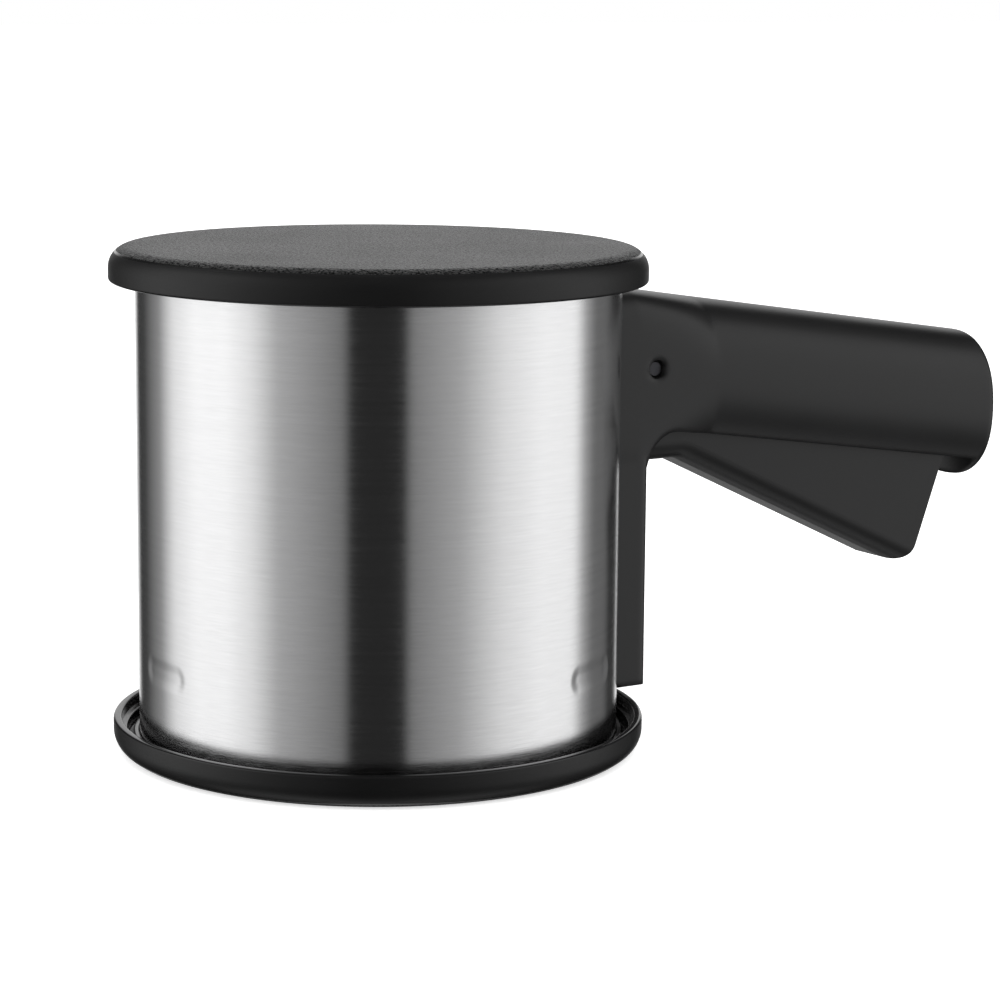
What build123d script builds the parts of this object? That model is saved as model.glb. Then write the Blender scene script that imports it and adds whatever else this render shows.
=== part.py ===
from build123d import *
import math
import os

# One-hand flour sifter. Millimetres, +Z up. The origin is on the floor, on the can's axis,
# and the handle points along +X. Squeezing the trigger turns a bent wire in the handle's
# spine, and the wire's inner end swings the agitator to and fro over the sieve.

# --- driving dimensions ------------------------------------------------------------------
TOTAL_HEIGHT = 120.6
CAN_R = 57.5
CAN_WALL = 0.6
HEM_HEIGHT = 4.0

LID_R = 63.7
LID_HEIGHT = 8.1
LID_PLATE = 2.2
LID_SKIRT = 2.0
LID_EDGE_ROUND = 5.0
LID_LEDGE_R, LID_LEDGE_Z = 60.4, 5.3
LID_GRIP_IN, LID_GRIP_OUT, LID_GRIP_Z = 57.6, 58.9, 4.6

DENT_ANGLES = (60.0, 180.0, 300.0)
DENT_LENGTH, DENT_HEIGHT, DENT_Z = 20.2, 7.7, 23.2
DENT_DEPTH = 1.2

RING_OUT, RING_IN = 56.6, 52.3
RING_FLANGE, RING_LIP = 1.0, 0.7
MESH_THICKNESS = 0.5
BRIDGE_WIDTH, BRIDGE_THICKNESS = 10.0, 1.5
RIVET_R = 1.5

AXLE_R = 2.5
RUNNING = 0.05
HUB_R, HUB_NECK_R = 6.0, 4.0
SPOKES = 6
SPOKE_WIRE_R = 1.0
SPOKE_REACH = 50.5

# handle tube: a superelliptic section carried along a line that droops by TUBE_SLOPE
TUBE_END_X = 178.1
TUBE_END_Z = 71.4
TUBE_SLOPE = 0.15
TUBE_A, TUBE_B, TUBE_POWER = 17.0, 19.5, 2.3
TUBE_WALL = 2.2
TUBE_END_WALL = 2.5
TUBE_END_ROUND = 1.2
FLARE_X0, FLARE_X1, FLARE_STEPS = 64.0, 88.0, 4
FLARE_DEPTH, FLARE_SQUARE = 12.0, 2.7
SLOT_DEPTH = 14.1
SLOT_ROOT_R = 8.0
CHANNEL_HALF = 10.5

SPINE_X = 67.2
SPINE_HALF = 16.6
SPINE_BOTTOM, SPINE_TOP = 9.8, 84.0
SPINE_WALL = 2.2
SPINE_ROUND = 1.8

# trigger
PIVOT_X, PIVOT_Z = 68.95, 88.6
PIN_R = 2.0
PIN_HALF = 15.8
PIN_RECESS_R = 2.4
SLEEVE_R = 4.5
TRIGGER_HALF = 10.0
TRIGGER_WALL = 2.3
TRIGGER_DROOP = 0.4674
TRIGGER_UNDER_Z = 64.2
TRIGGER_KNEE_X = 82.1
TRIGGER_TIP_X = 156.0
TRIGGER_END_X, TRIGGER_END_Z = 168.2, 63.0
TRIGGER_TOP_X, TRIGGER_TOP_Z = 70.7, 94.3
TRIGGER_STEP_X = 65.8
TRIGGER_LUG_R = 6.0
TRIGGER_ROUND = 5.0
TRIGGER_TIP_R = 6.0

# drive wire
ROD_X = 61.3
WIRE_R = 1.5
WIRE_BEND = 2.4
CRANK = 6.4
CRANK_Z = 65.0
CRANK_TOP = 74.0
LEVER_Z = 40.0
LEVER_LENGTH = 39.0
LEVER_START_DEG = 18.0
ROTOR_START_DEG = 27.5
LEVER_DROP = 6.2
FORK_PLATE_Z = 69.0
FORK_PLATE = 3.0

# screws, their blocks in the handle, and small hardware
BOLT_HEAD_R, BOLT_HEAD = 4.5, 1.6
WASHER_R = 7.0
NUT_R, NUT_HEIGHT, NUT_DOME_R = 4.5, 3.8, 3.7
BUSH_LEVELS = (45.0, 55.0)
BUSH_HEIGHT = 4.0
SEAL_HALF, SEAL_UP, SEAL_THICKNESS = 9.0, 4.6, 1.0
WALL_SLOT_HALF, WALL_SLOT_UP = 3.8, 2.2
BLOCK_HALF = 4.5
BLOCK_NEAR, BLOCK_FAR, BLOCK_DOWN = 3.6, 11.6, 3.5
SCREW_R = 1.75
SCREW_LENGTH = 7.5
SCREW_HEAD_R, SCREW_HEAD = 3.5, 2.2
LOW_SCREW_Z = 17.0
HIGH_SCREW_Z, HIGH_SCREW_DEG = 100.0, 7.0

# --- derived levels ----------------------------------------------------------------------
CAN_Z0 = LID_PLATE
CAN_Z1 = TOTAL_HEIGHT - LID_PLATE
CAN_IN = CAN_R - CAN_WALL
SIEVE_Z = DENT_Z + DENT_HEIGHT / 2 + CAN_WALL
MESH_Z = SIEVE_Z + RING_FLANGE
MESH_TOP = MESH_Z + MESH_THICKNESS
WASHER = 1.0
HUB_Z = MESH_TOP + WASHER + RUNNING
FORK_Z = HUB_Z + 5.0
FORK_THICKNESS = 2.0
HUB_TOP = FORK_Z + 6.0
SPOKE_Z = MESH_TOP + 0.4 + SPOKE_WIRE_R
UP = (Align.CENTER, Align.CENTER, Align.MIN)


# --- helpers -----------------------------------------------------------------------------
def cylinder(radius, z0, z1):
    return Pos(0, 0, z0) * Cylinder(radius, z1 - z0, align=UP)


def ring(outer, inner, z0, z1):
    return cylinder(outer, z0, z1) - cylinder(inner, z0, z1)


def box(x0, x1, y0, y1, z0, z1):
    middle = ((x0 + x1) / 2, (y0 + y1) / 2, (z0 + z1) / 2)
    return Pos(*middle) * Box(x1 - x0, y1 - y0, z1 - z0)


def along_x(radius, x0, x1, y=0.0, z=0.0):
    """A cylinder whose axis is parallel to X."""
    return Pos(x0, y, z) * Rot(0, 90, 0) * Cylinder(radius, x1 - x0, align=UP)


def along_y(radius, y0, y1, x=0.0, z=0.0):
    """A cylinder whose axis is parallel to Y."""
    return Pos(x, y0, z) * Rot(-90, 0, 0) * Cylinder(radius, y1 - y0, align=UP)


def turned(shape, degrees):
    return Rot(0, 0, degrees) * shape


def side_plate(points, half_width, rounded=()):
    """A plate whose outline is given in X and Z, centred on Y. rounded: (point index, radius)."""
    outline = make_face(Polyline([(x, z) for x, z in points], close=True))
    for index, radius in rounded:
        x, z = points[index]
        corner = outline.vertices().sort_by_distance(Vector(x, z, 0))[0]
        outline = fillet(corner, radius)
    return extrude(Plane.XZ * outline, half_width, both=True)


def bent_wire(points, radius, bend):
    path = FilletPolyline(*points, radius=bend)
    section = Plane(path @ 0, z_dir=path % 0) * Circle(radius)
    return sweep(section, path=path)


def save(shape, node):
    export_step(shape, f"parts/{node}.step")


# --- lids --------------------------------------------------------------------------------
def lid():
    """Base lid, face down: plate, outer skirt, an inner ledge, and a ring that grips the can."""
    skirt_in = LID_R - LID_SKIRT
    profile = [
        (0, 0), (LID_R, 0), (LID_R, LID_HEIGHT), (skirt_in, LID_HEIGHT),
        (skirt_in, LID_LEDGE_Z), (LID_LEDGE_R, LID_LEDGE_Z), (LID_LEDGE_R, LID_PLATE),
        (LID_GRIP_OUT, LID_PLATE), (LID_GRIP_OUT, LID_GRIP_Z), (LID_GRIP_IN, LID_GRIP_Z),
        (LID_GRIP_IN, LID_PLATE), (0, LID_PLATE),
    ]
    roundings = ((1, LID_EDGE_ROUND), (2, 0.7), (3, 0.5), (5, 0.3), (8, 0.3), (9, 0.3))
    face = make_face(Polyline(profile, close=True))
    for index, radius in roundings:
        x, y = profile[index]
        face = fillet(face.vertices().sort_by_distance(Vector(x, y, 0))[0], radius)
    return revolve(Plane.XZ * face, Axis.Z)


def top_lid():
    return Pos(0, 0, TOTAL_HEIGHT) * Rot(180, 0, 0) * lid()


# --- can ---------------------------------------------------------------------------------
def dent_prism(grow):
    outline = SlotOverall(DENT_LENGTH + 2 * grow, DENT_HEIGHT + 2 * grow)
    return Pos(CAN_R - 8, 0, DENT_Z) * extrude(Plane.YZ * outline, 16)


def can_shell():
    shell = ring(CAN_R, CAN_IN, CAN_Z0, CAN_Z1)
    for z in (CAN_Z0, CAN_Z1 - HEM_HEIGHT):
        shell += ring(CAN_IN, CAN_IN - CAN_WALL, z, z + HEM_HEIGHT)
    inner = CAN_IN - DENT_DEPTH
    bump_band = ring(CAN_IN + CAN_WALL / 2, inner, DENT_Z - 9, DENT_Z + 9)
    recess_band = ring(CAN_R + 2, inner + CAN_WALL, DENT_Z - 9, DENT_Z + 9)
    for angle in DENT_ANGLES:
        shell += turned(dent_prism(CAN_WALL), angle) & bump_band
        shell -= turned(dent_prism(0), angle) & recess_band
    for angle, z in screw_places():
        shell -= turned(along_x(SCREW_R + 0.25, CAN_R - 5, CAN_R + 5, 0, z), angle)
    shell -= wall_slot()
    return shell


def wall_slot():
    """Room for the drive wire's lever to swing through the can wall."""
    low, high = LEVER_Z - WALL_SLOT_UP, LEVER_Z + WALL_SLOT_UP
    return box(CAN_R - 4, CAN_R + 3, -WALL_SLOT_HALF, WALL_SLOT_HALF, low, high)


def wall_seal():
    low, high = LEVER_Z - SEAL_UP, LEVER_Z + SEAL_UP
    pad = ring(CAN_R + SEAL_THICKNESS, CAN_R, low, high)
    pad &= box(CAN_R - 5, CAN_R + 5, -SEAL_HALF, SEAL_HALF, low, high)
    return pad - wall_slot()


# --- sieve -------------------------------------------------------------------------------
def sieve_lower_ring():
    flange = ring(RING_OUT, RING_IN, SIEVE_Z, MESH_Z)
    lip = ring(RING_OUT, RING_OUT - RING_LIP, SIEVE_Z, MESH_TOP + 1.8)
    return flange + lip - bridge_rivets()


def sieve_upper_ring():
    return ring(RING_OUT - RING_LIP, RING_IN, MESH_TOP, MESH_TOP + 1.2)


def sieve_mesh():
    cloth = cylinder(RING_OUT - RING_LIP, MESH_Z, MESH_TOP)
    return cloth - cylinder(AXLE_R, MESH_Z, MESH_TOP) - bridge_rivets()


def support_bridge():
    reach = RING_IN + 3.0
    z0 = SIEVE_Z - BRIDGE_THICKNESS
    bar = box(-BRIDGE_WIDTH / 2, BRIDGE_WIDTH / 2, -reach, reach, z0, SIEVE_Z)
    bar = fillet(bar.edges().filter_by(Axis.Z), BRIDGE_WIDTH / 2 - 0.5)
    return bar - cylinder(AXLE_R, z0, SIEVE_Z) - bridge_rivets()


def bridge_rivets():
    place = RING_IN + 1.0
    rivets = Part()
    for side in (-1, 1):
        low = SIEVE_Z - BRIDGE_THICKNESS
        rivet = cylinder(RIVET_R, low, MESH_Z) + cylinder(RIVET_R * 1.6, low - 0.9, low)
        rivets += Pos(0, side * place, 0) * rivet
    return rivets


# --- agitator ----------------------------------------------------------------------------
def centre_bolt():
    head_top = SIEVE_Z - BRIDGE_THICKNESS
    head = cylinder(BOLT_HEAD_R, head_top - BOLT_HEAD, head_top)
    head = fillet(head.edges().sort_by(Axis.Z)[0], 0.6)
    return head + cylinder(AXLE_R, head_top, HUB_TOP + 5.0)


def centre_washers():
    below = ring(WASHER_R, AXLE_R, SIEVE_Z, MESH_Z)
    above = ring(WASHER_R, AXLE_R, MESH_TOP, MESH_TOP + WASHER)
    return below + above


def cap_nut():
    z0 = HUB_TOP + RUNNING
    hexagon = extrude(Pos(0, 0, z0) * RegularPolygon(NUT_R, 6), NUT_HEIGHT)
    dome = Pos(0, 0, z0 + NUT_HEIGHT) * Sphere(NUT_DOME_R)
    dome &= cylinder(HUB_R, z0 + NUT_HEIGHT, z0 + 9)
    return hexagon + dome - cylinder(AXLE_R, z0, HUB_TOP + 5.0)


def agitator_wire(index):
    high = HUB_Z + 2.6
    points = [
        (AXLE_R + 1.5, 0, high), (8.5, 0, high),
        (13.5, 0, SPOKE_Z), (SPOKE_REACH, 0, SPOKE_Z),
    ]
    return turned(bent_wire(points, SPOKE_WIRE_R, WIRE_BEND), 30 + 360 / SPOKES * index)


def rotor_hub():
    hub = cylinder(HUB_R, HUB_Z, FORK_Z) + cylinder(HUB_NECK_R, FORK_Z, HUB_TOP)
    hub -= cylinder(AXLE_R + RUNNING, HUB_Z, HUB_TOP)
    for index in range(SPOKES):
        hub -= agitator_wire(index)
    return hub


def rotor_fork():
    """Arm with a radial slot for the lever's pin, pressed on the hub's neck."""
    near, far = fork_slot_ends()
    arm = box(0, far + 4.5, -4.75, 4.75, FORK_Z, FORK_Z + FORK_THICKNESS)
    arm = fillet(arm.edges().filter_by(Axis.Z).sort_by(Axis.X)[-2:], 4.0)
    arm += cylinder(HUB_R + 0.5, FORK_Z, FORK_Z + FORK_THICKNESS)
    slot = SlotCenterToCenter(far - near, 2 * fork_slot_half())
    slot = extrude(Pos((near + far) / 2, 0, FORK_Z) * slot, FORK_THICKNESS)
    arm -= slot
    arm -= cylinder(HUB_NECK_R, FORK_Z, FORK_Z + FORK_THICKNESS)
    return turned(arm, -ROTOR_START_DEG)


def fork_slot_ends():
    """The pin's least and greatest distance from the axle over the lever's swing."""
    swing = math.radians(LEVER_START_DEG)
    near = ROD_X - LEVER_LENGTH
    far = math.hypot(ROD_X - LEVER_LENGTH * math.cos(swing), LEVER_LENGTH * math.sin(swing))
    return near - 0.5, far + 0.5


def fork_slot_half():
    """Half the slot's width: the pin, and what a constant ratio misses of the true linkage."""
    return WIRE_R + 0.65


# --- drive -------------------------------------------------------------------------------
def drive_wire():
    angle = math.radians(180 + LEVER_START_DEG)
    tip_x = ROD_X + LEVER_LENGTH * math.cos(angle)
    tip_y = LEVER_LENGTH * math.sin(angle)
    points = [
        (ROD_X, CRANK, CRANK_TOP), (ROD_X, CRANK, CRANK_Z), (ROD_X, 0, CRANK_Z),
        (ROD_X, 0, LEVER_Z), (tip_x, tip_y, LEVER_Z), (tip_x, tip_y, LEVER_Z - LEVER_DROP),
    ]
    return bent_wire(points, WIRE_R, WIRE_BEND)


def bush(z0):
    """Bulkhead across the spine, with a running bore for the drive wire."""
    half = SPINE_HALF - SPINE_WALL
    block = box(CAN_R - 6, SPINE_X - SPINE_WALL, -half, half, z0, z0 + BUSH_HEIGHT)
    block -= cylinder(CAN_R + 0.1, z0 - 1, z0 + 5)
    return block - Pos(ROD_X, 0, 0) * cylinder(WIRE_R + RUNNING, z0 - 1, z0 + 5)


# --- handle ------------------------------------------------------------------------------
def tube_centre_z(x):
    return TUBE_END_Z + TUBE_SLOPE * (TUBE_END_X - x)


def section(x, half_width, low, high, power):
    """A superelliptic face at x, from z low to z high."""
    count = 40
    points = []
    for step in range(count):
        angle = 2 * math.pi * step / count
        c, s = math.cos(angle), math.sin(angle)
        y = half_width * math.copysign(abs(c) ** (2 / power), c)
        z = (high - low) / 2 * math.copysign(abs(s) ** (2 / power), s)
        points.append((x, y, (high + low) / 2 + z))
    return make_face(Spline(points, periodic=True))


def tube_section(x, inset, extra=0.0, power=TUBE_POWER):
    centre = tube_centre_z(x)
    return section(x, TUBE_A - inset, centre - TUBE_B - extra + inset, centre + TUBE_B - inset, power)


def tube_body(inset, end_x):
    """The handle's tube, flaring into a taller, squarer root that runs back through the spine."""
    flare = []
    for step in range(FLARE_STEPS + 1):
        left = 1 - step / FLARE_STEPS
        x = FLARE_X1 - left * (FLARE_X1 - FLARE_X0)
        flare.append(tube_section(x, inset, FLARE_DEPTH * left ** 2, TUBE_POWER + FLARE_SQUARE * left))
    root = extrude(flare[0], 16, dir=(-1, 0, 0))
    end = tube_section(end_x, inset)
    length = (end_x - FLARE_X1) * math.hypot(1, TUBE_SLOPE)
    straight = extrude(end, length, dir=(-1, 0, TUBE_SLOPE))
    if inset == 0:
        straight = fillet(straight.edges().sort_by(Axis.X)[-1], TUBE_END_ROUND)
    return root + loft(flare) + straight


def slot_line_z(x):
    return tube_centre_z(x) - SLOT_DEPTH


def under_cut(half_width, end_x):
    """What is open under the tube: right of the spine, below the slot's edge."""
    points = [
        (SPINE_X, -20), (SPINE_X, slot_line_z(SPINE_X)),
        (end_x, slot_line_z(end_x)), (end_x, -20),
    ]
    return side_plate(points, half_width, [(1, SLOT_ROOT_R)])


def handle_outer():
    spine = box(CAN_R - 9, SPINE_X, -SPINE_HALF, SPINE_HALF, SPINE_BOTTOM, SPINE_TOP)
    spine = fillet(spine.edges().filter_by(Axis.Z).sort_by(Axis.X)[-2:], SPINE_ROUND)
    return spine + tube_body(0, TUBE_END_X)


def high_screw_blocks():
    """Blocks that the two upper screws bite into."""
    blocks = []
    for side in (-1, 1):
        low, high = sorted((side * BLOCK_NEAR, side * BLOCK_FAR))
        bottom = HIGH_SCREW_Z - BLOCK_DOWN
        blocks.append(box(CAN_R - 12, SPINE_X, low, high, bottom, TOTAL_HEIGHT))
    return blocks


def pivot_sleeves():
    """Sleeves that carry the pivot pin and centre the trigger."""
    sleeves = []
    for side in (-1, 1):
        low, high = sorted((side * (TRIGGER_HALF + 0.4), side * (TUBE_A + 1)))
        sleeves.append(along_y(SLEEVE_R, low, high, PIVOT_X, PIVOT_Z))
    return sleeves


def hollow_parts():
    """The spine's cavity, the tube's bore, and the straight channel that the trigger moves in."""
    half = SPINE_HALF - SPINE_WALL
    front = SPINE_X - SPINE_WALL
    inner_end = TUBE_END_X - TUBE_END_WALL
    bore = tube_body(TUBE_WALL, inner_end)
    for boss in high_screw_blocks() + pivot_sleeves():
        bore -= boss
    cavity = box(CAN_R - 9, front, -half, half, SPINE_BOTTOM + SPINE_WALL, 70)
    block_top = LOW_SCREW_Z + BLOCK_HALF
    cavity -= box(CAN_R - 12, SPINE_X, -BLOCK_HALF, BLOCK_HALF, SPINE_BOTTOM, block_top)
    channel = [
        (front, TRIGGER_UNDER_Z - 1.8), (front, PIVOT_Z),
        (inner_end, slot_line_z(inner_end) + 12), (inner_end, slot_line_z(inner_end) - 9),
    ]
    return bore, cavity, side_plate(channel, CHANNEL_HALF), under_cut(30, inner_end)


def handle_shell():
    shell = handle_outer() - cylinder(CAN_R, 0, TOTAL_HEIGHT)
    for side in (-1, 1):
        low, high = sorted((side * PIN_HALF, side * 30))
        shell -= along_y(PIN_RECESS_R, low, high, PIVOT_X, PIVOT_Z)
    for hollow in hollow_parts():
        shell -= hollow
    shell -= along_y(PIN_R, -30, 30, PIVOT_X, PIVOT_Z)
    for angle, z in screw_places():
        shell -= turned(along_x(SCREW_R, CAN_R - 5, screw_tip() + 0.3, 0, z), angle)
    return shell


# --- screws ------------------------------------------------------------------------------
def screw_places():
    """Angle about the can and height of each handle screw."""
    return ((0.0, LOW_SCREW_Z), (HIGH_SCREW_DEG, HIGH_SCREW_Z), (-HIGH_SCREW_DEG, HIGH_SCREW_Z))


def screw_seat():
    return CAN_IN - 0.92


def screw_tip():
    return screw_seat() + SCREW_LENGTH


def handle_screws():
    screws = Part()
    for angle, z in screw_places():
        head = along_x(SCREW_HEAD_R, screw_seat() - SCREW_HEAD, screw_seat(), 0, z)
        head = fillet(head.edges().sort_by(Axis.X)[0], 1.2)
        recess = box(screw_seat() - SCREW_HEAD, screw_seat() - 1.0, -0.5, 0.5, z - 2, z + 2)
        recess += box(screw_seat() - SCREW_HEAD, screw_seat() - 1.0, -2, 2, z - 0.5, z + 0.5)
        shank = along_x(SCREW_R, screw_seat(), screw_tip(), 0, z)
        screws += turned(head - recess + shank, angle)
    return screws


def screw_washers():
    washers = Part()
    for angle, z in screw_places():
        disc = along_x(4.4, CAN_IN - 3, CAN_IN + 2, 0, z)
        disc -= along_x(SCREW_R + 0.25, CAN_IN - 3, CAN_IN + 2, 0, z)
        disc &= ring(CAN_IN, CAN_IN - 0.8, z - 6, z + 6)
        washers += turned(disc, angle)
    return washers


# --- trigger -----------------------------------------------------------------------------
def trigger_outline():
    lug_x = PIVOT_X - TRIGGER_LUG_R
    plate_top = FORK_PLATE_Z + FORK_PLATE
    back_x = CAN_R + 0.4
    tip_z = TRIGGER_UNDER_Z - TRIGGER_DROOP * (TRIGGER_TIP_X - TRIGGER_KNEE_X)
    return [
        (lug_x, plate_top), (back_x, plate_top), (back_x, FORK_PLATE_Z),
        (TRIGGER_STEP_X, FORK_PLATE_Z), (TRIGGER_STEP_X, TRIGGER_UNDER_Z),
        (TRIGGER_KNEE_X, TRIGGER_UNDER_Z), (TRIGGER_TIP_X, tip_z),
        (TRIGGER_END_X, TRIGGER_END_Z), (TRIGGER_TOP_X, TRIGGER_TOP_Z), (lug_x, PIVOT_Z),
    ]


def trigger_blank(tip_round):
    rounded = [(5, 8.0)]
    if tip_round:
        rounded.append((6, TRIGGER_TIP_R))
    return side_plate(trigger_outline(), TRIGGER_HALF, rounded)


def on_underside(edge):
    """True for the two long lower edges, which are rounded over."""
    centre = edge.center()
    level = TRIGGER_UNDER_Z - TRIGGER_DROOP * max(0.0, centre.X - TRIGGER_KNEE_X)
    return abs(centre.Z - level) < 1.0 and abs(abs(centre.Y) - TRIGGER_HALF) < 0.01


def trigger():
    body = trigger_blank(False)
    body = fillet([edge for edge in body.edges() if on_underside(edge)], TRIGGER_ROUND)
    body &= trigger_blank(True)
    body += along_y(TRIGGER_LUG_R, -TRIGGER_HALF, TRIGGER_HALF, PIVOT_X, PIVOT_Z)
    body -= trigger_hollow()
    body -= along_y(PIN_R + RUNNING, -30, 30, PIVOT_X, PIVOT_Z)
    slot = extrude(Pos(ROD_X, 5.5, FORK_PLATE_Z - 1) * Rot(0, 0, 90) * SlotOverall(5.6, 4.3), 5)
    return body - slot


def trigger_hollow():
    """The channel between the trigger's sides, open upwards, with a solid root under the lugs."""
    half = TRIGGER_HALF - TRIGGER_WALL
    floor = [(81.0, 67.3), (154.8, 32.8), (182.8, 110.0), (81.0, 110.0)]
    root = [(50.0, 73.0), (81.1, 73.0), (81.1, 110.0), (50.0, 110.0)]
    return side_plate(floor, half, [(1, 3.0)]) + side_plate(root, half)


def pivot_pin():
    pin = along_y(PIN_R, -PIN_HALF, PIN_HALF, PIVOT_X, PIVOT_Z)
    return chamfer(pin.edges().filter_by(GeomType.CIRCLE), 0.3)


def trigger_spring():
    """Torsion spring on the pin: one arm bears on the tube's roof, one on the trigger's root."""
    wire, radius, pitch, turns = 0.6, 3.2, 1.35, 5 + 295 / 360
    arm_up, arm_down = math.radians(50), math.radians(-65)
    start_y = -pitch * turns / 2
    x_dir = (math.sin(arm_up), 0, -math.cos(arm_up))
    seat = Plane(origin=(PIVOT_X, start_y, PIVOT_Z), x_dir=x_dir, z_dir=(0, 1, 0))
    coil = seat * Helix(pitch, pitch * turns, radius)
    first = Line(coil @ 0 - (coil % 0) * 20.0, coil @ 0)
    last = Line(coil @ 1, coil @ 1 + (coil % 1) * 17.0)
    path = Wire([first, coil.edge(), last])
    return sweep(Plane(path @ 0, z_dir=path % 0) * Circle(wire), path=path)


# --- build -------------------------------------------------------------------------------
def build():
    os.makedirs("parts", exist_ok=True)
    save(lid(), "base_lid")
    save(top_lid(), "top_lid")
    save(can_shell(), "can_shell")
    save(wall_seal(), "wall_seal")
    save(sieve_lower_ring(), "sieve_lower_ring")
    save(sieve_upper_ring(), "sieve_upper_ring")
    save(sieve_mesh(), "sieve_mesh")
    save(support_bridge(), "support_bridge")
    save(bridge_rivets(), "bridge_rivets")
    save(centre_bolt(), "centre_bolt")
    save(centre_washers(), "centre_washers")
    save(cap_nut(), "cap_nut")
    save(rotor_hub(), "rotor_hub")
    save(rotor_fork(), "rotor_fork")
    for index in range(SPOKES):
        save(agitator_wire(index), f"agitator_wire_{index + 1}")
    save(drive_wire(), "drive_wire")
    save(bush(BUSH_LEVELS[0]), "lower_bush")
    save(bush(BUSH_LEVELS[1]), "upper_bush")
    save(handle_shell(), "handle_shell")
    save(handle_screws(), "handle_screws")
    save(screw_washers(), "screw_washers")
    save(trigger(), "trigger")
    save(pivot_pin(), "pivot_pin")
    save(trigger_spring(), "trigger_spring")


build()
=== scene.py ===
import math

import bmesh
import bpy
from mathutils import Matrix, Vector


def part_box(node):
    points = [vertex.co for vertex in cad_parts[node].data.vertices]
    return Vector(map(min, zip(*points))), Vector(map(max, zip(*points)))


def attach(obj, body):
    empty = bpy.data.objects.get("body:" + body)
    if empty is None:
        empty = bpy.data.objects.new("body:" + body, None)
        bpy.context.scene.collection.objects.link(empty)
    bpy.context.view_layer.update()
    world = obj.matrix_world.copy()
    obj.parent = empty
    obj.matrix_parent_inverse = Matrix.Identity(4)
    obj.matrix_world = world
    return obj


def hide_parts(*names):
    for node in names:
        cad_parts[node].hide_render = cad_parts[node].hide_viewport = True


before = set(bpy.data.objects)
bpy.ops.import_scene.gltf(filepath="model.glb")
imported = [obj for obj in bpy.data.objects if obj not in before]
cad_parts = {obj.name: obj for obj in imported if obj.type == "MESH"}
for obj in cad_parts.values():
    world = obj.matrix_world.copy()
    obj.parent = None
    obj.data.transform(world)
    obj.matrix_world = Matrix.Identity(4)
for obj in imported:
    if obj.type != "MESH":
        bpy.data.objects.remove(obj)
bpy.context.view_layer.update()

# Flour sifter, in metres, in the CAD frame: +Z up, handle along +X, the floor at z = 0.
MM = 0.001

# --- camera: distance and height from the can's axis on the floor, and the angles it looks at ---
CAMERA_DISTANCE, CAMERA_HEIGHT = 0.72985, 0.18553
CAMERA_AROUND = math.radians(30.0)
CAMERA_YAW, CAMERA_DOWN, CAMERA_ROLL = (math.radians(a) for a in (2.274, 9.789, 0.484))
CAMERA_LENS, SENSOR = 111.34, 36.0

# --- shape details that the nodes' own boxes don't give, in millimetres and degrees ---
LID_PLATE, LID_SKIRT, LID_EDGE_ROUND = 2.2, 2.0, 5.0
LID_LEDGE_R, LID_LEDGE_Z = 60.4, 5.3
LID_GRIP_IN, LID_GRIP_OUT, LID_GRIP_Z = 57.6, 58.9, 4.6
RIM_ROUND, RIM_INNER_ROUND, STEP_ROUND = 0.7, 0.5, 0.35
# A ring of vertices this far in from each flat's edge keeps the flat's shading even.
FACE_MARGIN, DISH_MARGIN = 6.0, 8.0
# The grain covers a lid's face, up to this height on its rounding. The side above it is smooth, and its
# darker colour is painted shade.
LID_GRAIN_Z = 1.6
# The gloss covers the lid's inside: above this height, within the skirt, and on the top of the rim.
LID_GLOSS_Z, SKIRT_MARGIN, RIM_TOP = 1.0, 0.3, 0.35
# Taken off a lid's radius, so that its vertices stay inside the CAD's box.
FACET_ALLOWANCE = 0.005

CAN_WALL, HEM_HEIGHT, HEM_ROUND, HEM_STEP = 0.6, 4.0, 0.3, 0.1
DENT_ANGLES = (60.0, 180.0, 300.0)
DENT_LENGTH, DENT_HEIGHT, DENT_Z = 20.2, 7.7, 23.2
DENT_DEPTH, DENT_SHOULDER = 0.22, 3.0
# Finer facets cover each dent, this far to each side of its middle, with coarser ones between.
DENT_ZONE_Z, DENT_ZONE_ANGLE, PLAIN_ZONE_Z = 5, 12, 8
DENT_ROWS, DENT_COLUMNS, PLAIN_ROWS, PLAIN_COLUMNS = 26, 60, 8, 96

ROUND_SEGMENTS = 288
ON_AXIS = 1e-6

# The wires' middles rise and fall by a little less than their radius, so that they touch where they cross.
MESH_PITCH, MESH_WIRE_R, WEAVE_RISE, CLOTH_INSET = 1.25, 0.12, 0.95, 0.4


# --- camera, light and floor ---------------------------------------------------------------
def make_camera():
    data = bpy.data.cameras.new("camera")
    data.lens = CAMERA_LENS
    data.sensor_width = SENSOR
    data.clip_start = 0.01
    camera = bpy.data.objects.new("camera", data)
    bpy.context.scene.collection.objects.link(camera)
    turn = Matrix.Rotation(-CAMERA_AROUND, 3, "Z")
    place = turn @ Vector((0, -CAMERA_DISTANCE, CAMERA_HEIGHT))
    forward = turn @ Vector((
        math.sin(CAMERA_YAW) * math.cos(CAMERA_DOWN),
        math.cos(CAMERA_YAW) * math.cos(CAMERA_DOWN),
        -math.sin(CAMERA_DOWN),
    ))
    right = forward.cross(Vector((0, 0, 1))).normalized()
    up = right.cross(forward)
    rolled_right = right * math.cos(CAMERA_ROLL) + up * math.sin(CAMERA_ROLL)
    rolled_up = up * math.cos(CAMERA_ROLL) - right * math.sin(CAMERA_ROLL)
    axes = Matrix((rolled_right, rolled_up, -forward)).transposed().to_4x4()
    camera.matrix_world = Matrix.Translation(place) @ axes
    bpy.context.scene.camera = camera


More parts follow.
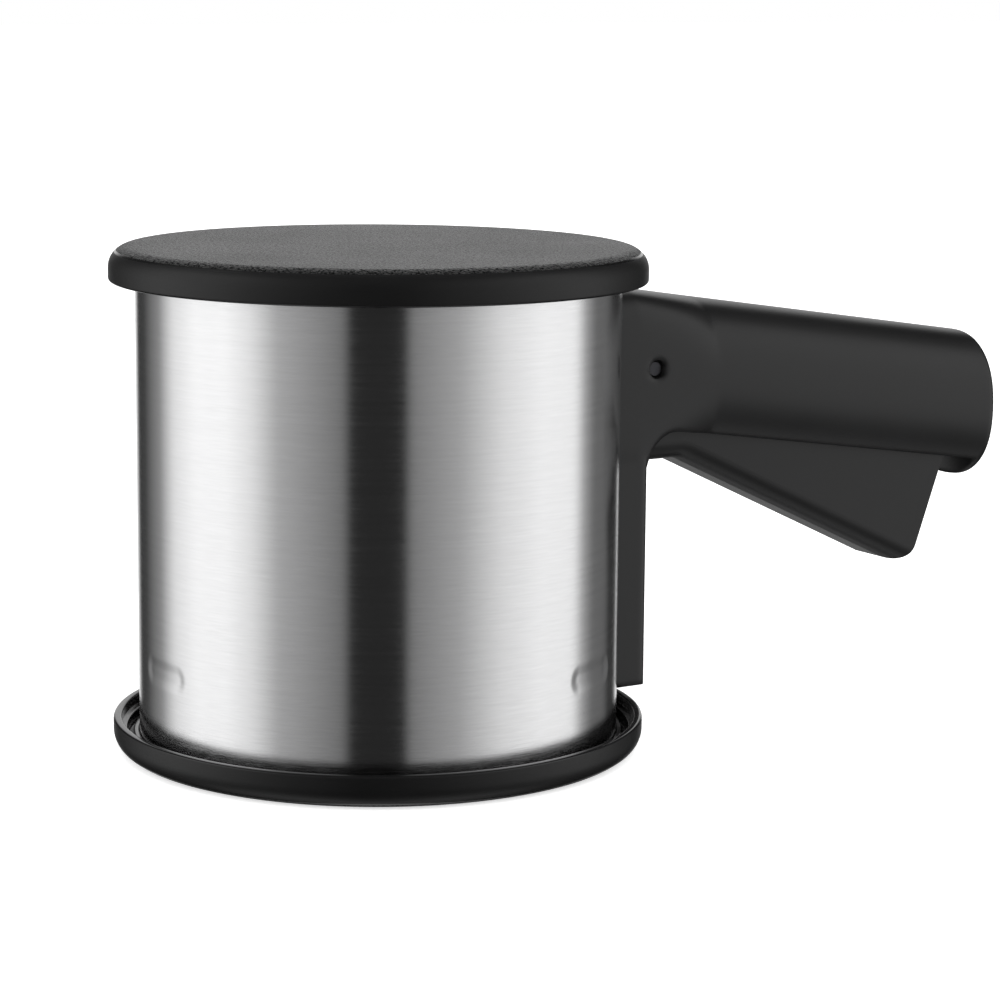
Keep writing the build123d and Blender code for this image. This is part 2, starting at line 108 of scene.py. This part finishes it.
# Studio seen by the can: brightness around the horizon, in degrees to the right of the camera.
STUDIO_RING = (
    (-180, 1.0), (-166, 0.9), (-157, 0.04), (-144, 0.06), (-125, 0.3), (-112, 0.95),
    (-95, 1.25), (-76, 1.25), (-62, 1.0), (-48, 0.5), (-34, 0.37), (-17, 0.22),
    (-12.5, 0.025), (12, 0.025), (14.5, 0.24), (38, 0.46), (60, 0.92), (82, 1.15),
    (105, 1.1), (113, 0.42), (122, 0.16), (137, 0.14), (143, 0.04), (156, 0.03),
    (163, 0.9), (180, 1.0),
)
# The same studio by height: (sine of the angle up, level). Dark under the table's edge, then the floor.
STUDIO_RISE = ((-1, 0.9), (-0.85, 0.55), (-0.7, 0.16), (-0.5, 0.3), (-0.27, 1.0))
OVERHEAD = 0.2
DIFFUSE_LIGHT = 1.15


def math_node(tree, operation, *inputs):
    node = tree.nodes.new("ShaderNodeMath")
    node.operation = operation
    for index, value in enumerate(inputs):
        if isinstance(value, (int, float)):
            node.inputs[index].default_value = value
        else:
            tree.links.new(value, node.inputs[index])
    return node.outputs[0]


def grey_ramp(tree, value, levels):
    ramp = tree.nodes.new("ShaderNodeValToRGB")
    tree.links.new(value, ramp.inputs["Fac"])
    stops = ramp.color_ramp.elements
    stops.remove(stops[-1])
    for index, (place, level) in enumerate(levels):
        stop = stops[0] if index == 0 else stops.new(place)
        stop.position = place
        stop.color = (level, level, level, 1)
    return ramp.outputs["Color"]


def make_studio():
    """A world of softboxes and dark flags around the horizon, with a soft light overhead."""
    world = bpy.data.worlds.new("studio")
    bpy.context.scene.world = world
    world.use_nodes = True
    tree = world.node_tree
    tree.nodes.clear()
    link = tree.links.new
    direction = tree.nodes.new("ShaderNodeTexCoord").outputs["Generated"]
    turned = tree.nodes.new("ShaderNodeVectorRotate")
    turned.rotation_type = "Z_AXIS"
    turned.inputs["Angle"].default_value = math.radians(90) + CAMERA_AROUND
    link(direction, turned.inputs["Vector"])
    parts = tree.nodes.new("ShaderNodeSeparateXYZ")
    link(turned.outputs[0], parts.inputs[0])
    angle = math_node(tree, "ARCTAN2", parts.outputs["Y"], parts.outputs["X"])
    around = math_node(tree, "MULTIPLY_ADD", angle, 0.5 / math.pi, 0.5)
    ring = grey_ramp(tree, around, [(angle / 360 + 0.5, level) for angle, level in STUDIO_RING])
    overhead = tree.nodes.new("ShaderNodeMapRange")
    overhead.interpolation_type = "SMOOTHSTEP"
    link(parts.outputs["Z"], overhead.inputs["Value"])
    overhead.inputs["From Min"].default_value = 0.62
    overhead.inputs["From Max"].default_value = 0.92
    sky = tree.nodes.new("ShaderNodeMix")
    sky.data_type = "RGBA"
    link(overhead.outputs[0], sky.inputs["Factor"])
    link(ring, sky.inputs["A"])
    sky.inputs["B"].default_value = (OVERHEAD, OVERHEAD, OVERHEAD, 1)
    rise = grey_ramp(tree, math_node(tree, "MULTIPLY_ADD", parts.outputs["Z"], 0.5, 0.5),
                     [(height / 2 + 0.5, level) for height, level in STUDIO_RISE])
    studio = tree.nodes.new("ShaderNodeBackground")
    link(sky.outputs["Result"], studio.inputs["Color"])
    link(rise, studio.inputs["Strength"])
    plain = tree.nodes.new("ShaderNodeBackground")
    plain.inputs["Color"].default_value = (1, 1, 1, 1)
    ray = tree.nodes.new("ShaderNodeLightPath")
    even = tree.nodes.new("ShaderNodeBackground")
    even.inputs["Color"].default_value = (1, 1, 1, 1)
    even.inputs["Strength"].default_value = DIFFUSE_LIGHT
    soft = tree.nodes.new("ShaderNodeMixShader")
    link(ray.outputs["Is Diffuse Ray"], soft.inputs["Fac"])
    link(studio.outputs[0], soft.inputs[1])
    link(even.outputs[0], soft.inputs[2])
    choose = tree.nodes.new("ShaderNodeMixShader")
    link(ray.outputs["Is Camera Ray"], choose.inputs["Fac"])
    link(soft.outputs[0], choose.inputs[1])
    link(plain.outputs[0], choose.inputs[2])
    link(choose.outputs[0], tree.nodes.new("ShaderNodeOutputWorld").inputs["Surface"])


def area_light(name, place, size, power, aim=(0.03, 0, 0.06)):
    data = bpy.data.lights.new(name, "AREA")
    data.shape = "SQUARE"
    data.size = size
    data.energy = power
    light = bpy.data.objects.new(name, data)
    bpy.context.scene.collection.objects.link(light)
    light.location = place
    light.rotation_euler = (Vector(aim) - Vector(place)).to_track_quat("-Z", "Y").to_euler()
    light.visible_glossy = False
    light.visible_camera = False


def make_floor():
    bpy.ops.mesh.primitive_plane_add(size=16, location=(0, 0, 0))
    floor = bpy.context.object
    floor.name = "floor"
    floor.data.materials.append(floor_material())
    floor.visible_glossy = False


# --- materials -----------------------------------------------------------------------------
def new_material(name):
    material = bpy.data.materials.new(name)
    material.use_nodes = True
    tree = material.node_tree
    return material, tree, tree.nodes["Principled BSDF"]


def place_vector(tree, scale):
    """The object's own coordinates, stretched by scale in each direction."""
    mapping = tree.nodes.new("ShaderNodeMapping")
    tree.links.new(tree.nodes.new("ShaderNodeTexCoord").outputs["Object"], mapping.inputs["Vector"])
    mapping.inputs["Scale"].default_value = scale
    return mapping.outputs[0]


def noise(tree, vector, scale, detail=3.0, roughness=0.5):
    node = tree.nodes.new("ShaderNodeTexNoise")
    tree.links.new(vector, node.inputs["Vector"])
    node.inputs["Scale"].default_value = scale
    node.inputs["Detail"].default_value = detail
    node.inputs["Roughness"].default_value = roughness
    return node.outputs["Fac"]


def spread(tree, value, low, high, start=0.3, end=0.7):
    node = tree.nodes.new("ShaderNodeMapRange")
    tree.links.new(value, node.inputs["Value"])
    node.inputs["From Min"].default_value = start
    node.inputs["From Max"].default_value = end
    node.inputs["To Min"].default_value = low
    node.inputs["To Max"].default_value = high
    return node.outputs[0]


def tint(tree, value, dark, light):
    node = tree.nodes.new("ShaderNodeMix")
    node.data_type = "RGBA"
    tree.links.new(value, node.inputs["Factor"])
    node.inputs["A"].default_value = (*dark, 1)
    node.inputs["B"].default_value = (*light, 1)
    return node.outputs["Result"]


def bump(tree, shader, height, strength, distance, under=None):
    node = tree.nodes.new("ShaderNodeBump")
    node.inputs["Strength"].default_value = strength
    node.inputs["Distance"].default_value = distance
    tree.links.new(height, node.inputs["Height"])
    if under is not None:
        tree.links.new(under, node.inputs["Normal"])
    tree.links.new(node.outputs[0], shader.inputs["Normal"])
    return node.outputs[0]


def floor_material():
    material, tree, shader = new_material("floor_paper")
    where = place_vector(tree, (1, 1, 1))
    tree.links.new(tint(tree, noise(tree, where, 3.0), (0.93, 0.93, 0.93), (0.95, 0.95, 0.95)),
                   shader.inputs["Base Color"])
    shader.inputs["Roughness"].default_value = 0.9
    shader.inputs["Specular IOR Level"].default_value = 0.1
    shader.inputs["Emission Color"].default_value = (1, 1, 1, 1)
    shader.inputs["Emission Strength"].default_value = 0.6
    return material


def brushed_steel(name, along, light, rough, anisotropy=0.75, streak=9000.0, scratch=0.35):
    """Brushed stainless. along: stretch of the brush lines, small where they run long."""
    material, tree, shader = new_material(name)
    fine = noise(tree, place_vector(tree, along), streak, 2.0, 0.6)
    broad = noise(tree, place_vector(tree, tuple(a * 6 for a in along)), streak / 60, 3.0)
    tree.links.new(tint(tree, spread(tree, broad, 0, 1), tuple(c * 0.94 for c in light), light),
                   shader.inputs["Base Color"])
    rough_map = math_node(tree, "ADD", spread(tree, fine, rough - 0.05, rough + 0.05),
                          spread(tree, broad, -0.02, 0.02))
    tree.links.new(rough_map, shader.inputs["Roughness"])
    shader.inputs["Metallic"].default_value = 1.0
    shader.inputs["Anisotropic"].default_value = anisotropy
    shader.inputs["Anisotropic Rotation"].default_value = 0.25
    tangent = tree.nodes.new("ShaderNodeTangent")
    tangent.direction_type = "RADIAL"
    tangent.axis = "Z"
    tree.links.new(tangent.outputs[0], shader.inputs["Tangent"])
    bump(tree, shader, fine, scratch, 0.00002)
    return material


def bright_steel(name, light=(0.74, 0.74, 0.75), rough=0.14):
    """Drawn wire and turned hardware: bright, with faint handling marks."""
    material, tree, shader = new_material(name)
    where = place_vector(tree, (1, 1, 1))
    marks = noise(tree, where, 900.0, 4.0, 0.65)
    tree.links.new(tint(tree, spread(tree, noise(tree, where, 160.0), 0, 1),
                        tuple(c * 0.9 for c in light), light), shader.inputs["Base Color"])
    tree.links.new(spread(tree, marks, rough - 0.03, rough + 0.1), shader.inputs["Roughness"])
    shader.inputs["Metallic"].default_value = 1.0
    bump(tree, shader, marks, 0.08, 0.00003)
    return material


def plastic(name, color, rough, grain=0.0, grain_scale=2600.0, level=0.5, cells=0.0, deep=0.00012,
            speckle=0.0, soften=0.0):
    """Moulded plastic: fine grain, slight colour drift, and a gentle unevenness of the wall.

    speckle: how much the grain varies the shine. soften: radius that eases the moulding's edges.
    """
    material, tree, shader = new_material(name)
    where = place_vector(tree, (1, 1, 1))
    drift = noise(tree, where, 45.0, 2.0)
    tree.links.new(tint(tree, spread(tree, drift, 0, 1), tuple(c * 0.86 for c in color),
                        tuple(c * 1.14 for c in color)), shader.inputs["Base Color"])
    sand = noise(tree, where, grain_scale, 2.5, 0.6)
    tree.links.new(math_node(tree, "ADD", spread(tree, sand, rough - 0.05, rough + 0.05),
                             spread(tree, drift, -0.02, 0.02)), shader.inputs["Roughness"])
    shader.inputs["Specular IOR Level"].default_value = level
    if speckle:
        tree.links.new(spread(tree, sand, level * (1 - speckle), level * (1 + speckle), 0.4, 0.6),
                       shader.inputs["Specular IOR Level"])
    wave = tree.nodes.new("ShaderNodeBump")
    wave.inputs["Strength"].default_value = 0.12
    wave.inputs["Distance"].default_value = 0.0003
    tree.links.new(noise(tree, where, 70.0, 1.0), wave.inputs["Height"])
    if soften:
        eased = tree.nodes.new("ShaderNodeBevel")
        eased.samples = 8
        eased.inputs["Radius"].default_value = soften
        tree.links.new(eased.outputs[0], wave.inputs["Normal"])
    height = sand
    if cells:
        voronoi = tree.nodes.new("ShaderNodeTexVoronoi")
        voronoi.feature = "SMOOTH_F1"
        voronoi.inputs["Scale"].default_value = grain_scale * cells
        tree.links.new(where, voronoi.inputs["Vector"])
        height = math_node(tree, "MULTIPLY_ADD", voronoi.outputs["Distance"], 0.8, sand)
    bump(tree, shader, height, grain, deep, wave.outputs[0])
    return material


def rubber(name):
    return plastic(name, (0.035, 0.035, 0.036), 0.7, grain=0.3, grain_scale=1500.0)


# --- meshes --------------------------------------------------------------------------------
def mesh_piece(name, vertices, faces, sharp=34.0):
    mesh = bpy.data.meshes.new(name)
    mesh.from_pydata([tuple(v) for v in vertices], [], faces)
    mesh.validate()
    for polygon in mesh.polygons:
        polygon.use_smooth = True
    mesh.set_sharp_from_angle(angle=math.radians(sharp))
    piece = bpy.data.objects.new(name, mesh)
    bpy.context.scene.collection.objects.link(piece)
    return piece


def recalculate(piece):
    work = bmesh.new()
    work.from_mesh(piece.data)
    bmesh.ops.recalc_face_normals(work, faces=work.faces)
    work.to_mesh(piece.data)
    work.free()


def arc(cx, cz, radius, start, end, count):
    """Points of an arc, angles in degrees, from start to end."""
    points = []
    for step in range(count + 1):
        angle = math.radians(start + (end - start) * step / count)
        points.append((cx + radius * math.cos(angle), cz + radius * math.sin(angle)))
    return points


def lathe(name, profile, segments=ROUND_SEGMENTS):
    """Turns a profile of (radius, z) in millimetres about the Z axis. It starts and ends on the axis."""
    vertices, faces = [], []
    rings = []
    for radius, z in profile:
        if radius < ON_AXIS:
            rings.append([len(vertices)])
            vertices.append((0, 0, z * MM))
            continue
        first = len(vertices)
        rings.append(list(range(first, first + segments)))
        for step in range(segments):
            angle = 2 * math.pi * step / segments
            vertices.append((radius * math.cos(angle) * MM, radius * math.sin(angle) * MM, z * MM))
    for low, high in zip(rings, rings[1:]):
        for step in range(segments):
            after = (step + 1) % segments
            if len(low) == 1:
                faces.append((low[0], high[step], high[after]))
            elif len(high) == 1:
                faces.append((low[step], high[0], low[after]))
            else:
                faces.append((low[step], high[step], high[after], low[after]))
    piece = mesh_piece(name, vertices, faces)
    recalculate(piece)
    return piece


# --- lids ----------------------------------------------------------------------------------
def lid_profile(radius, height):
    """Face down: outer edge, skirt, rim, inner ledge, groove and the ring that grips the can."""
    skirt_in = radius - LID_SKIRT
    profile = [(0, 0), (radius * 0.5, 0), (radius - LID_EDGE_ROUND - FACE_MARGIN, 0)]
    profile += arc(radius - LID_EDGE_ROUND, LID_EDGE_ROUND, LID_EDGE_ROUND, -90, 0, 12)
    profile += arc(radius - RIM_ROUND, height - RIM_ROUND, RIM_ROUND, 0, 90, 6)
    profile += arc(skirt_in + RIM_INNER_ROUND, height - RIM_INNER_ROUND, RIM_INNER_ROUND, 90, 180, 5)
    profile += [(skirt_in, LID_LEDGE_Z + STEP_ROUND)]
    profile += arc(LID_LEDGE_R + STEP_ROUND, LID_LEDGE_Z - STEP_ROUND, STEP_ROUND, 90, 180, 4)
    profile += arc(LID_LEDGE_R - STEP_ROUND, LID_PLATE + STEP_ROUND, STEP_ROUND, 0, -90, 4)
    profile += arc(LID_GRIP_OUT + STEP_ROUND, LID_PLATE + STEP_ROUND, STEP_ROUND, -90, -180, 4)
    profile += arc(LID_GRIP_OUT - STEP_ROUND, LID_GRIP_Z - STEP_ROUND, STEP_ROUND, 0, 90, 4)
    profile += arc(LID_GRIP_IN + STEP_ROUND, LID_GRIP_Z - STEP_ROUND, STEP_ROUND, 90, 180, 4)
    profile += [(LID_GRIP_IN, LID_PLATE), (LID_GRIP_IN - DISH_MARGIN, LID_PLATE), (0, LID_PLATE)]
    return profile


def make_lid(name, face, side, inside, upside_down):
    low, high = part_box(name)
    radius = (high.x - low.x) / 2 / MM - FACET_ALLOWANCE
    height = (high.z - low.z) / MM
    lid = lathe(name + "_moulding", lid_profile(radius, height))
    for material in (face, side, inside):
        lid.data.materials.append(material)
    for polygon in lid.data.polygons:
        x, y, z = polygon.center
        reach = math.hypot(x, y) / MM
        inside_skirt = reach < radius - LID_SKIRT + SKIRT_MARGIN
        if z / MM > LID_GLOSS_Z and (inside_skirt or z / MM > height - RIM_TOP):
            polygon.material_index = 2
        elif z / MM > LID_GRAIN_Z:
            polygon.material_index = 1
    if upside_down:
        lid.data.transform(Matrix.Translation((0, 0, high.z)) @ Matrix.Rotation(math.pi, 4, "X"))
    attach(lid, name)
    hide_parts(name)


# --- can -----------------------------------------------------------------------------------
def dent_depth(can_radius, angle, z):
    """How far the wall is pressed in, in millimetres, with soft shoulders."""
    radius = DENT_HEIGHT / 2
    deepest = 0.0
    for centre in DENT_ANGLES:
        turn = (angle - centre + 180) % 360 - 180
        across = abs(math.radians(turn)) * can_radius
        if across > DENT_LENGTH:
            continue
        distance = math.hypot(max(across - DENT_LENGTH / 2 + radius, 0), z - DENT_Z) - radius
        share = min(max(-distance / DENT_SHOULDER, 0), 1)
        deepest = max(deepest, DENT_DEPTH * share * share * (3 - 2 * share))
    return deepest


def steps(start, end, count):
    return [start + (end - start) * step / count for step in range(count + 1)]


def make_can(outside, inside):
    low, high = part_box("can_shell")
    radius = high.x / MM
    z0, z1 = low.z / MM, high.z / MM
    levels = [z0 + HEM_ROUND, z0 + HEM_HEIGHT]
    levels += steps(DENT_Z - DENT_ZONE_Z, DENT_Z + DENT_ZONE_Z, DENT_ROWS)
    levels += steps(DENT_Z + PLAIN_ZONE_Z, z1 - HEM_HEIGHT, PLAIN_ROWS) + [z1 - HEM_ROUND]
    angles = []
    apart = 360 / len(DENT_ANGLES)
    for centre in DENT_ANGLES:
        angles += steps(centre - DENT_ZONE_ANGLE, centre + DENT_ZONE_ANGLE, DENT_COLUMNS)[:-1]
        angles += steps(centre + DENT_ZONE_ANGLE, centre + (apart - DENT_ZONE_ANGLE), PLAIN_COLUMNS)[:-1]
    wall = CAN_WALL
    profile = [(radius - wall, z0)] + [(radius, z) for z in levels] + [(radius - wall, z1)]
    inner = radius - 2 * wall
    profile += [(inner, z1 - HEM_ROUND), (inner, z1 - HEM_HEIGHT),
                (radius - wall, z1 - HEM_HEIGHT - HEM_STEP)]
    profile += [(radius - wall, z) for z in reversed(levels[2:-1])]
    profile += [(radius - wall, z0 + HEM_HEIGHT + HEM_STEP), (inner, z0 + HEM_HEIGHT),
                (inner, z0 + HEM_ROUND)]
    vertices, faces = [], []
    for angle in angles:
        c, s = math.cos(math.radians(angle)), math.sin(math.radians(angle))
        for reach, z in profile:
            reach -= dent_depth(radius, angle, z)
            vertices.append((reach * c * MM, reach * s * MM, z * MM))
    rows = len(profile)
    for column in range(len(angles)):
        after = (column + 1) % len(angles)
        for row in range(rows):
            up = (row + 1) % rows
            faces.append((column * rows + row, after * rows + row,
                          after * rows + up, column * rows + up))
    can = mesh_piece("can_wall", vertices, faces)
    recalculate(can)
    can.data.materials.append(outside)
    can.data.materials.append(inside)
    for polygon in can.data.polygons:
        normal, centre = polygon.normal, polygon.center
        if normal.x * centre.x + normal.y * centre.y < 0:
            polygon.material_index = 1
    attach(can, "can")
    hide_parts("can_shell")


# --- sieve cloth ---------------------------------------------------------------------------
def make_mesh_cloth(material):
    """Plain weave: each wire goes over one crossing wire and under the next."""
    low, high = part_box("sieve_mesh")
    reach = high.x / MM - CLOTH_INSET
    middle = (low.z + high.z) / 2 / MM
    vertices, faces = [], []
    count = int(reach / MESH_PITCH)
    for crosswise in (False, True):
        for line in range(-count, count + 1):
            offset = line * MESH_PITCH
            half = math.sqrt(max(reach ** 2 - offset ** 2, 0))
            crossings = int(half / MESH_PITCH)
            if crossings < 2:
                continue
            for crossing in range(-crossings, crossings + 1):
                over = 1 if (line + crossing + crosswise) % 2 else -1
                along = crossing * MESH_PITCH
                first = len(vertices)
                for dy, dz in ((-1, 0), (0, 1), (1, 0), (0, -1)):
                    y = offset + dy * MESH_WIRE_R
                    z = middle + over * MESH_WIRE_R * WEAVE_RISE + dz * MESH_WIRE_R
                    point = (y, along, z) if crosswise else (along, y, z)
                    vertices.append(tuple(p * MM for p in point))
                if crossing > -crossings:
                    for side in range(4):
                        after = (side + 1) % 4
                        faces.append((first - 4 + side, first - 4 + after,
                                      first + after, first + side))
                else:
                    faces.append((first, first + 1, first + 2, first + 3))
            last = len(vertices)
            faces.append((last - 4, last - 3, last - 2, last - 1))
    cloth = mesh_piece("woven_sieve_cloth", vertices, faces, sharp=80)
    recalculate(cloth)
    cloth.data.materials.append(material)
    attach(cloth, "can")
    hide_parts("sieve_mesh")


# --- CAD nodes that are shown as they are ----------------------------------------------------
def finish_node(node, material):
    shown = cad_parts[node]
    shown.data.materials.clear()
    shown.data.materials.append(material)


def build():
    make_camera()
    make_studio()
    make_floor()
    area_light("overhead_soft", (0.1, -0.2, 1.6), 1.6, 5)
    bpy.context.scene.view_settings.view_transform = "Standard"

    can_out = brushed_steel("can_brushed", (0.02, 0.02, 1.0), (0.8, 0.8, 0.805), 0.2, 0.9)
    can_in = brushed_steel("can_inside", (0.012, 0.012, 1.0), (0.7, 0.7, 0.71), 0.32)
    satin = brushed_steel("stamped_steel", (0.05, 1.0, 1.0), (0.66, 0.66, 0.67), 0.3, 0.3, 5000.0)
    wire = bright_steel("bright_wire")
    cloth = bright_steel("mesh_wire", (0.62, 0.62, 0.63), 0.25)
    dark_pin = bright_steel("dark_pin", (0.055, 0.055, 0.06), 0.38)
    lid_face = plastic("lid_grained", (0.0035, 0.0035, 0.0036), 0.38, 1.0, 1700.0, 0.48, 0.8, 0.0004,
                       speckle=0.97)
    # The side's plastic is smoother than the face. Its colour and shine are also turned down as painted
    # shade, so that the skirt reads darker than the face.
    lid_side = plastic("lid_satin_painted_shade", (0.003, 0.003, 0.0031), 0.4, 0.1, 3200.0, 0.34)
    lid_in = plastic("lid_gloss", (0.004, 0.004, 0.0042), 0.14, 0.05, 900.0)
    handle = plastic("handle_satin", (0.004, 0.004, 0.0042), 0.36, 0.12, 3200.0, 0.43,
                     soften=0.0025)
    trigger = plastic("trigger_satin", (0.004, 0.004, 0.0042), 0.38, 0.12, 3200.0, 0.4)
    acetal = plastic("bearing_acetal", (0.72, 0.71, 0.67), 0.3, 0.06, 1200.0)
    seal = rubber("seal_rubber")

    make_lid("base_lid", lid_face, lid_side, lid_in, False)
    make_lid("top_lid", lid_face, lid_side, lid_in, True)
    make_can(can_out, can_in)
    make_mesh_cloth(cloth)

    plain = {
        "handle_shell": handle, "trigger": trigger, "pivot_pin": dark_pin, "wall_seal": seal,
        "sieve_lower_ring": satin, "sieve_upper_ring": satin, "support_bridge": satin,
        "rotor_fork": satin, "rotor_hub": acetal, "lower_bush": acetal, "upper_bush": acetal,
    }
    for node in ("bridge_rivets", "centre_bolt", "centre_washers", "cap_nut", "drive_wire",
                 "handle_screws", "screw_washers", "trigger_spring"):
        plain[node] = wire
    for index in range(1, 7):
        plain[f"agitator_wire_{index}"] = wire
    for node, material in plain.items():
        finish_node(node, material)


build()
